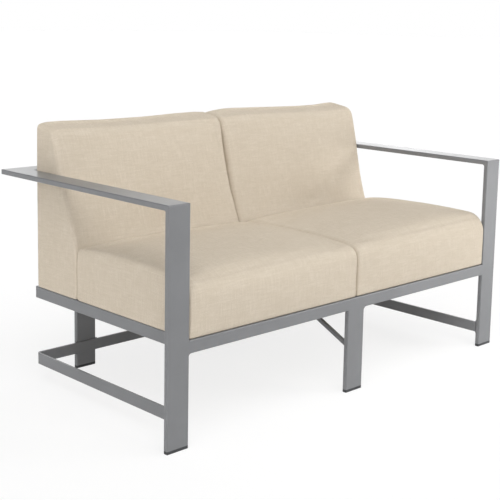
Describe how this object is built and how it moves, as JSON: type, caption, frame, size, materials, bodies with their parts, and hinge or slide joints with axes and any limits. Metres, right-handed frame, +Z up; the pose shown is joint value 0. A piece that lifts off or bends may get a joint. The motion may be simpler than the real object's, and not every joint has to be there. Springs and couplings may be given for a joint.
{
  "type": "patio loveseat",
  "caption": "Outdoor loveseat: flat aluminium tube frame with broad square arms, low stretchers and a centre leg, carrying loose seat and back cushions in woven fabric.",
  "frame": {"origin": "centre of the footprint, on the floor", "axes": "+X to the right when seen from the front, -Y to the front, +Z up"},
  "size_m": [1.552, 0.837, 0.8401],
  "materials": {
    "frame_paint": "powder coated, satin grey",
    "glide": "moulded, dark grey",
    "fabric": "heathered woven, beige",
    "fibre_wrap": "polyester fibre",
    "foam": "open cell foam",
    "zip": "moulded coil and tape, beige"
  },
  "bodies": {
    "frame": {"front_leg_left": "frame_paint", "front_leg_right": "frame_paint", "centre_front_leg": "frame_paint", "arm_left": "frame_paint", "arm_right": "frame_paint", "rear_top_rail": "frame_paint", "seat_front_rail": "frame_paint", "seat_side_rail_left": "frame_paint", "seat_side_rail_right": "frame_paint", "seat_rear_rail": "frame_paint", "seat_centre_beam": "frame_paint", "seat_slats_left": "frame_paint", "seat_slats_right": "frame_paint", "rear_leg_left": "frame_paint", "rear_leg_right": "frame_paint", "back_upright_left": "frame_paint", "back_upright_right": "frame_paint", "back_upright_centre": "frame_paint", "side_stretcher_left": "frame_paint", "side_stretcher_right": "frame_paint", "rear_stretcher": "frame_paint", "centre_leg_brace": "frame_paint", "corner_welds": "frame_paint", "glide_front_left": "glide", "glide_front_centre": "glide", "glide_front_right": "glide", "glide_rear_left": "glide", "glide_rear_right": "glide"},
    "seat_cushion_left": {"seat_cushion_left_cover": "fabric", "seat_cushion_left_wrap": "fibre_wrap", "seat_cushion_left_core": "foam", "seat_cushion_left_zip": "zip"},
    "seat_cushion_right": {"seat_cushion_right_cover": "fabric", "seat_cushion_right_wrap": "fibre_wrap", "seat_cushion_right_core": "foam", "seat_cushion_right_zip": "zip"},
    "back_cushion_left": {"back_cushion_left_cover": "fabric", "back_cushion_left_wrap": "fibre_wrap", "back_cushion_left_core": "foam", "back_cushion_left_zip": "zip"},
    "back_cushion_right": {"back_cushion_right_cover": "fabric", "back_cushion_right_wrap": "fibre_wrap", "back_cushion_right_core": "foam", "back_cushion_right_zip": "zip"}
  },
  "joints": [
    {"name": "seat_cushion_left_lift", "type": "slide", "parent": "frame", "child": "seat_cushion_left", "axis": [0, 0, 1], "range_m": [0, 0.45]},
    {"name": "seat_cushion_right_lift", "type": "slide", "parent": "frame", "child": "seat_cushion_right", "axis": [0, 0, 1], "range_m": [0, 0.45]},
    {"name": "back_cushion_left_lift", "type": "slide", "parent": "frame", "child": "back_cushion_left", "axis": [0, 0, 1], "range_m": [0, 0.45]},
    {"name": "back_cushion_right_lift", "type": "slide", "parent": "frame", "child": "back_cushion_right", "axis": [0, 0, 1], "range_m": [0, 0.45]}
  ]
}
